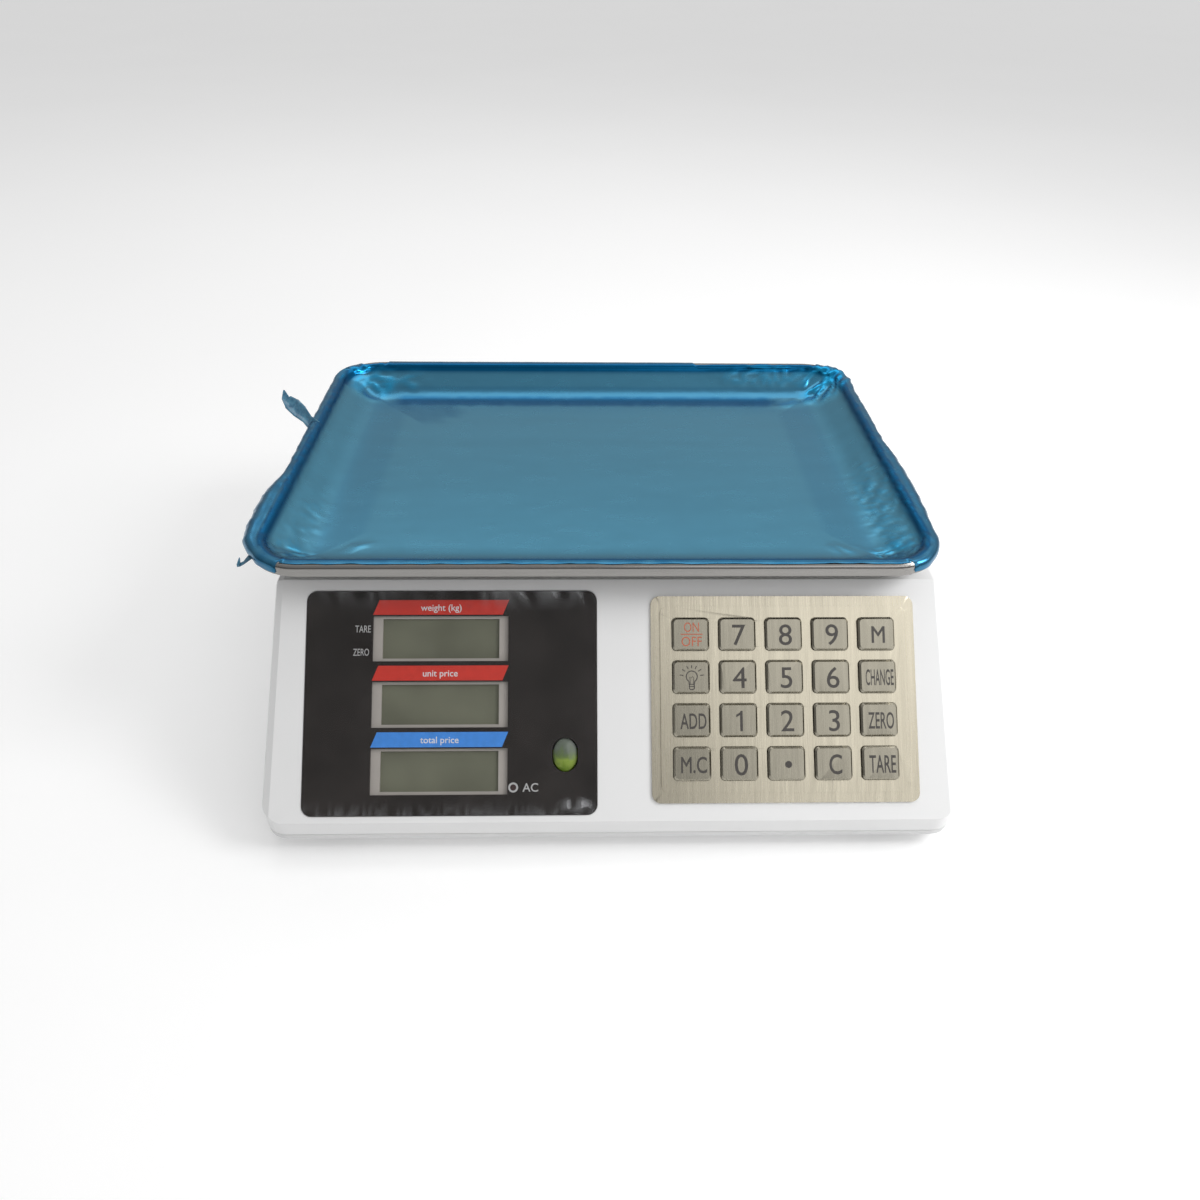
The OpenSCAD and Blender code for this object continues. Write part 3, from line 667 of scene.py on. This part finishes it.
# Painted shade on the film, 0 to 1, standing in for its darker reflections: on the rim, in the dark line by it
# (which is broader at the back), down the walls, in the creases at their feet and in the patch at the back left.
RIM_SHADE, WALL_SHADE, BACK_WALL_SHADE, BACK_FOOT_SHADE = 0.62, 0.06, 0.27, 0.45
CREASE_SHADE, SIDE_SHADE, PATCH_SHADE = 0.95, 0.22, 0.42
# Where these are, in mm: the line along the section, the rest in from the pan's edge.
LINE_FROM, LINE_TO, BACK_LINE_TO, LINE_FADE, LINE_DROP = 1.6, 5.2, 7.0, 2.5, 0.85
BACK_WALL, BACK_FOOT, WALL_END, FLOOR_FROM = 30, 18, 28, 24
CREASE_AT, CREASE_HALF, CREASE_LEFT, CREASE_RIGHT, CREASE_FADE = 30.5, 7.5, -140, 130, 14
SIDE_AT, SIDE_HALF = 38, 15


def film_painted_shade(s, d, x, y):
    """The painted shade at s along the section, d in from the edge and x, y on the pan."""
    cloud = noise.noise(Vector((x, y, 0)) / 7.0)
    back = y > HALF_D - BACK_WALL
    line_to = BACK_LINE_TO if back else LINE_TO
    if s < LINE_FROM:
        value = RIM_SHADE + 0.25 * cloud
    elif s < line_to:
        value = 1.0
    elif s < line_to + LINE_FADE:
        value = 1.0 - LINE_DROP * (s - line_to) / LINE_FADE
    elif back and d < WALL_END:
        value = BACK_WALL_SHADE if d < BACK_FOOT else BACK_FOOT_SHADE
    else:
        value = WALL_SHADE
    if d > FLOOR_FROM and y > 0 and abs(HALF_D - d - abs(y)) < 1:
        fade = ramp_up(CREASE_RIGHT - x, CREASE_FADE) * ramp_up(x - CREASE_LEFT, CREASE_FADE)
        crease = bump_at(0, d, 0, CREASE_AT + 1.2 * cloud, 1, CREASE_HALF) ** 0.5
        value = max(value, CREASE_SHADE * fade * crease)
        patch = bump_at(x, d, -112, 46, 34, 14) + 0.6 * bump_at(x, d, -138, 40, 20, 16)
        value = max(value, PATCH_SHADE * min(1.0, 2 * patch) + 0.1 * cloud * (patch > 0))
    if d > FLOOR_FROM and abs(HALF_W - d - abs(x)) < 1:
        value = max(value, SIDE_SHADE * min(1.0, 2 * bump_at(0, d, 0, SIDE_AT, 1, SIDE_HALF)))
    return max(0.0, min(1.0, value))


def film_shape():
    """The film's points and faces, and its tone and lift at each point."""
    walk = rim_walk()
    rim = [-6.0, -5.3, -4.6, -3.9, -3.2, -2.5, -1.8, -1.2, -0.6, 0, 0.8, 1.6, 2.4, 3.2, 4.0, 4.8]
    wall = [5.8, 7.0, 8.4, 10.0, 12, 14, 16, 18, 20, 22, 24, 26, 28, 30.5, 33]
    floor = [35, 37, 39, 42, 46, 51, 56, 64, 72, 80, 88, 96, 104, 111]
    points, painted_shades, lift_sheens, faces = [], [], [], []
    rings = 0

    def put(base, angle, d, z, nd, nz, s):
        """Adds the point at d in from the edge and z high, moved out along (nd, nz)."""
        outward = Vector((math.cos(angle), math.sin(angle)))
        flat = base + outward * (CORNER_R - min(d, CORNER_R))
        if d > CORNER_R:
            flat.x = base.x * (HALF_W - d) / (HALF_W - CORNER_R)
            flat.y = base.y * (HALF_D - d) / (HALF_D - CORNER_R)
        x, y = flat
        away = 0.0
        for cx, cy, rx, ry, high, fold in WRINKLES:
            near = bump_at(x, y, cx, cy, rx, ry)
            if near:
                away += near * high * (0.25 + ridged(x, y, z * 2, fold))
        ripple = 0.06 * (1 + noise.noise(Vector((x, y, z)) / 5.0)) if d < 30 else 0.0
        flap = 0.0
        if s < 0:
            high, middle, reach = LEFT_BULGE if x < 0 else RIGHT_BULGE
            flap = high * bump_at(0, y, 0, middle, 1, reach)
            flap += SIDE_FOLDS * (abs(x) > 150) * ridged(x, y, 0, 13)
            flap *= min(1.0, -s / 4)
        lift = FILM_GAP + ripple + away + flap
        d2, z2 = d + nd * lift, z + nz * lift
        flat2 = flat + outward * (d - d2) if d <= CORNER_R else flat
        points.append(PAN.at(flat2.x, flat2.y, z2))
        # Painted shade at this point. Below it, how much lighter the film is where it has come away: partly its
        # real look, partly a painted highlight.
        painted_shades.append(film_painted_shade(s, d, x, y))
        lift_sheens.append(max(0.0, min(0.9, (away - 0.30) * 0.6)))

    first, last = rim[0], wall[0]
    for full in rim + wall:
        for base, angle in walk:
            s = full
            if full < last:  # squeezed to where the film ends
                edge = base + Vector((math.cos(angle), math.sin(angle))) * CORNER_R
                end = -film_reach(*edge)
                s = end + (full - first) * (last - end) / (last - first)
            p, n = on_section(s)
            put(base, angle, p.x, p.y, n.x, n.y, s)
        rings += 1
    for d in floor:
        for base, angle in walk:
            put(base, angle, d, -DISH_DEPTH, 0.0, 1.0, 40 + d)
        rings += 1
    count = len(walk)
    for j in range(rings - 1):
        for i in range(count):
            k = (i + 1) % count
            faces.append((j * count + i, j * count + k, (j + 1) * count + k, (j + 1) * count + i))
    faces.append(tuple((rings - 1) * count + i for i in range(count)))
    return points, faces, painted_shades, lift_sheens


def set_attribute(mesh, name, values):
    mesh.attributes.new(name, "FLOAT", "POINT").data.foreach_set("value", values)


points, faces, painted_shades, lift_sheens = film_shape()
mesh = mesh_from("pan_film_sheet", points, faces)
# The painted shade and the lighter colour of lifted film (partly a painted highlight) go to the film's material.
set_attribute(mesh, "painted_shade", painted_shades)
set_attribute(mesh, "lift", lift_sheens)
film = link_piece("pan_film_sheet", mesh, paints["blue_film"], "pan")
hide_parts("pan_film")


TAIL_FACES = (0.2, -0.75, 0.63)  # the way that the tails' flat sides face
TAIL_STEPS, TAIL_THICK = 6, 0.06  # points between two given ones, and thickness in mm


def torn_tail(name, line, widths, twist, across=7):
    """A thin torn tail of film along a line of (x, y, z) on the pan, its edges curled."""
    line = [Vector(p) for p in line]
    fine, wide = [], []
    for i in range(len(line) - 1):
        for k in range(TAIL_STEPS):
            t = k / TAIL_STEPS
            fine.append(line[i].lerp(line[i + 1], t * t * (3 - 2 * t) * 0.5 + t * 0.5))
            wide.append(widths[i] + (widths[i + 1] - widths[i]) * t)
    fine.append(line[-1])
    wide.append(widths[-1])
    points, faces = [], []
    for i, p in enumerate(fine):
        along = (fine[min(i + 1, len(fine) - 1)] - fine[max(i - 1, 0)]).normalized()
        side = along.cross(Vector(TAIL_FACES)).normalized()
        share = i / (len(fine) - 1)
        turn = math.radians(twist[0] + (twist[1] - twist[0]) * share)
        side = Matrix.Rotation(turn, 3, along) @ side
        lift = side.cross(along)
        for k in range(across):
            u = k / (across - 1) - 0.5
            curl = (u * u * 4 - 0.4) * wide[i] * 0.16
            wobble = 0.5 * noise.noise(Vector((share * 9, u * 4, 1.5))) * min(1, share * 5)
            q = p + side * (u * wide[i]) + lift * (curl + wobble * min(1, wide[i] / 4))
            points.append(PAN.at(q.x, q.y, q.z))
    for i in range(len(fine) - 1):
        for k in range(across - 1):
            a = i * across + k
            faces.append((a, a + 1, a + across + 1, a + across))
    tail = link_piece(name, mesh_from(name, points, faces), paints["loose_film"], "pan")
    skin = tail.modifiers.new("thick", "SOLIDIFY")
    skin.thickness = TAIL_THICK * MM
    return tail


tails = [
    torn_tail("film_tail", [(-166.5, 24, -1.5), (-171.5, 28, 1), (-176.5, 32, 4),
                            (-181.5, 36, 7), (-185.5, 39, 9.5), (-187.0, 43, 13.0)],
              [8.0, 6.0, 9.0, 9.5, 5.0, 0.4], (0, 20)),
    torn_tail("film_wisp", [(-163, -94, -3.0), (-167, -99, -5.0), (-170, -103, -6.5),
                            (-172.5, -105, -7.0), (-172, -102.5, -4.0)],
              [5.0, 3.0, 1.4, 2.2, 0.3], (0, 30)),
]

# ---------------------------------------------------------------- clear film on the display
COVER_W, COVER_H = PANEL_W - 0.6, PANEL_H - 0.6
COVER_R, COVER_STEP = 4.8, 1.5  # corner radius and spacing of the points, mm
TOP_FOLDS, FOOT_FOLDS = 11, 9  # how far the folds at the top and bottom reach in, mm
SLACK = (60, -50, 10, 4.5)  # where the film stands off most: its place and its reach, mm


def cover_shape():
    """The clear film as a grid, with folds along its top and bottom and soft waves between."""
    columns, rows = round(COVER_W / COVER_STEP), round(COVER_H / COVER_STEP)
    inner_x, inner_y = COVER_W / 2 - COVER_R, COVER_H / 2 - COVER_R
    points, creases, faces = [], [], []
    for j in range(rows + 1):
        for i in range(columns + 1):
            x = (i / columns - 0.5) * COVER_W
            y = (j / rows - 0.5) * COVER_H
            dx, dy = abs(x) - inner_x, abs(y) - inner_y
            if dx > 0 and dy > 0 and math.hypot(dx, dy) > COVER_R:
                pull = COVER_R / math.hypot(dx, dy)
                x = math.copysign(inner_x + dx * pull, x)
                y = math.copysign(inner_y + dy * pull, y)
            top = max(0.0, 1 - (COVER_H / 2 - y) / TOP_FOLDS)
            foot = max(0.0, 1 - (COVER_H / 2 + y) / FOOT_FOLDS)
            gather = 0.5 + noise.noise(Vector((x / 21.0, y / 90.0, 2.0)))
            folds = (ridged(x + 0.4 * y, y * 0.3, 0.0, 7.0) * top ** 1.5 * max(0.0, gather)
                     + 0.7 * ridged(x, y * 0.25, 4.0, 3.2) * foot ** 2)
            wave = 0.5 + 0.5 * noise.noise(Vector((x * 0.7 + y, y * 0.6 - x * 0.4, 7)) / 34.0)
            slack = bump_at(x, y, *SLACK) * ridged(x, y, 2.0, 7.0)
            height = 0.35 + 0.25 * wave + 0.8 * folds + 1.3 * slack
            points.append(panel.at(x, y, height))
            # Painted reflection, stronger on the waves and towards the right, and painted highlight on the folds
            # and the slack: these set how much of the film's mirror shows.
            sheen = 0.045 * max(0.0, wave - 0.5) + 0.03 * max(0.0, x / COVER_W)
            creases.append(min(1.0, sheen + folds * 0.9 + slack))
    for j in range(rows):
        for i in range(columns):
            a = j * (columns + 1) + i
            faces.append((a, a + 1, a + columns + 2, a + columns + 1))
    return points, faces, creases


points, faces, creases = cover_shape()
mesh = mesh_from("display_cover_film", points, faces)
set_attribute(mesh, "crease", creases)
cover = link_piece("display_cover_film", mesh, paints["clear_film"], "base")
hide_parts("display_film")

# ---------------------------------------------------------------- lens over the level
LEVEL_X, LEVEL_Y = 55.8, -25.8
LENS_HALF_W, LENS_HALF_H, LENS_RISE, LENS_SUNK = 5.95, 8.0, 1.3, 1.5


def lens_shape(rings=9, around=40):
    """A domed oval window; its high attribute runs from 0 at the bottom to 1 at the top."""
    place = panel.moved(LEVEL_X, LEVEL_Y, -LENS_SUNK)
    points, highs, faces = [], [], []
    for j in range(rings + 1):
        share = 1 - j / rings
        for x, y in circle(0, 0, LENS_HALF_W * share, LENS_HALF_H * share, count=around):
            points.append(place.at(x, y, LENS_RISE * (1 - share * share)))
            highs.append(0.5 + y / LENS_HALF_H / 2)
    for j in range(rings):
        for i in range(around):
            k = (i + 1) % around
            faces.append((j * around + i, j * around + k, (j + 1) * around + k,
                          (j + 1) * around + i))
    return points, faces, highs


points, faces, highs = lens_shape()
mesh = mesh_from("level_lens", points, faces)
set_attribute(mesh, "high", highs)
link_piece("level_lens", mesh, paints["level_liquid"], "base")

# ---------------------------------------------------------------- easing of the CAD parts
EDGE_DEGREES, EDGE_STEPS, WELD_MM = 35, 3, 0.002


def ease_edges(obj, width_mm):
    """Rounds the sharp edges that the CAD solid leaves."""
    weld = obj.modifiers.new("weld", "WELD")
    weld.merge_threshold = WELD_MM * MM
    bevel = obj.modifiers.new("bevel", "BEVEL")
    bevel.width = width_mm * MM
    bevel.segments = EDGE_STEPS
    bevel.limit_method = "ANGLE"
    bevel.angle_limit = math.radians(EDGE_DEGREES)
    bevel.harden_normals = True


eased = {"display_panel": 0.25, "keypad_plate": 0.44, "rear_panel": 0.25, "battery_door": 0.4,
         "power_inlet": 0.3}
eased.update({node: 0.4 for node in nodes if node.startswith("key_")})
for node, width in eased.items():
    ease_edges(nodes[node], width)

# ---------------------------------------------------------------- camera, light and floor
FOCAL_MM, SENSOR_MM = 24.7836, 36.0
CAMERA_AT = Vector((-0.01037, -0.39148, 0.35956))
PITCH, YAW, ROLL = math.radians(39.806), math.radians(1.481), math.radians(-0.849)
camera_data = bpy.data.cameras.new("camera")
camera_data.lens, camera_data.sensor_width = FOCAL_MM, SENSOR_MM
camera = bpy.data.objects.new("camera", camera_data)
bpy.context.scene.collection.objects.link(camera)
bpy.context.scene.camera = camera
forward = Vector((math.sin(YAW) * math.cos(PITCH), math.cos(YAW) * math.cos(PITCH),
                  -math.sin(PITCH)))
level_right = Vector((math.cos(YAW), -math.sin(YAW), 0))
down = forward.cross(level_right)
image_right = level_right * math.cos(ROLL) + down * math.sin(ROLL)
image_down = down * math.cos(ROLL) - level_right * math.sin(ROLL)
camera.matrix_world = Matrix.Translation(CAMERA_AT) @ Matrix(
    (image_right, -image_down, -forward)).transposed().to_4x4()


def soft_light(name, place, aim, size, power):
    """A white softbox of that size in metres and power in watts, turned towards aim."""
    data = bpy.data.lights.new(name, "AREA")
    data.shape, data.size, data.size_y = "RECTANGLE", size[0], size[1]
    data.energy = power
    light = bpy.data.objects.new(name, data)
    light.location = place
    light.rotation_euler = (Vector(aim) - Vector(place)).to_track_quat("-Z", "Y").to_euler()
    bpy.context.scene.collection.objects.link(light)


soft_light("key_light", (0.76, -0.18, 0.72), (0.10, -0.05, 0.05), (0.4, 0.4), 5.0)
soft_light("front_light", (0.55, -0.90, 1.00), (0.05, -0.10, 0.05), (0.8, 1.0), 2.1)
soft_light("back_light", (0.1, 0.80, 1.45), (0, 0, 0.05), (1.8, 0.8), 6.0)


LOW_GREY, FULL_FROM = 0.36, 0.64  # the horizon's grey, and the height (0 to 1) of full white
SKY_LEAN, SKY_STRENGTH = (0.22, 0.34, 0.0), 0.62


def studio_world():
    """Soft light, brightest overhead and stronger from behind and from the right."""
    world = bpy.data.worlds.new("studio")
    world.use_nodes = True
    tree = world.node_tree
    coords = tree.nodes.new("ShaderNodeTexCoord")
    split = tree.nodes.new("ShaderNodeSeparateXYZ")
    ramp = tree.nodes.new("ShaderNodeValToRGB")
    ramp.color_ramp.elements[0].color = (LOW_GREY, LOW_GREY, LOW_GREY, 1)
    ramp.color_ramp.elements[1].color = (1.0, 1.0, 1.0, 1)
    ramp.color_ramp.elements[1].position = FULL_FROM
    tree.links.new(coords.outputs["Generated"], split.inputs["Vector"])
    tree.links.new(split.outputs["Z"], ramp.inputs["Fac"])
    lean = tree.nodes.new("ShaderNodeVectorMath")
    lean.operation = "DOT_PRODUCT"
    lean.inputs[1].default_value = SKY_LEAN
    tree.links.new(coords.outputs["Generated"], lean.inputs[0])
    strength = tree.nodes.new("ShaderNodeMath")
    strength.operation = "MULTIPLY_ADD"
    strength.inputs[1].default_value = strength.inputs[2].default_value = SKY_STRENGTH
    tree.links.new(lean.outputs["Value"], strength.inputs[0])
    tree.links.new(ramp.outputs["Color"], tree.nodes["Background"].inputs["Color"])
    tree.links.new(strength.outputs["Value"], tree.nodes["Background"].inputs["Strength"])
    return world


bpy.context.scene.world = studio_world()
bpy.context.scene.view_settings.view_transform = "Standard"

FLOOR_HALF = 14.0
floor_mesh = mesh_from("floor", [(x * FLOOR_HALF, y * FLOOR_HALF, 0) for y in (-1, 1)
                                 for x in (-1, 1)], [(0, 1, 3, 2)], smooth=False)
floor = bpy.data.objects.new("floor", floor_mesh)
bpy.context.scene.collection.objects.link(floor)
paint(floor, worked("floor_paper", (0.86, 0.86, 0.86), 0.7, patch=3, spread=0.01, grain=900,
                    depth=0.01, Emission_Color=(1, 1, 1, 1), Emission_Strength=0.18))
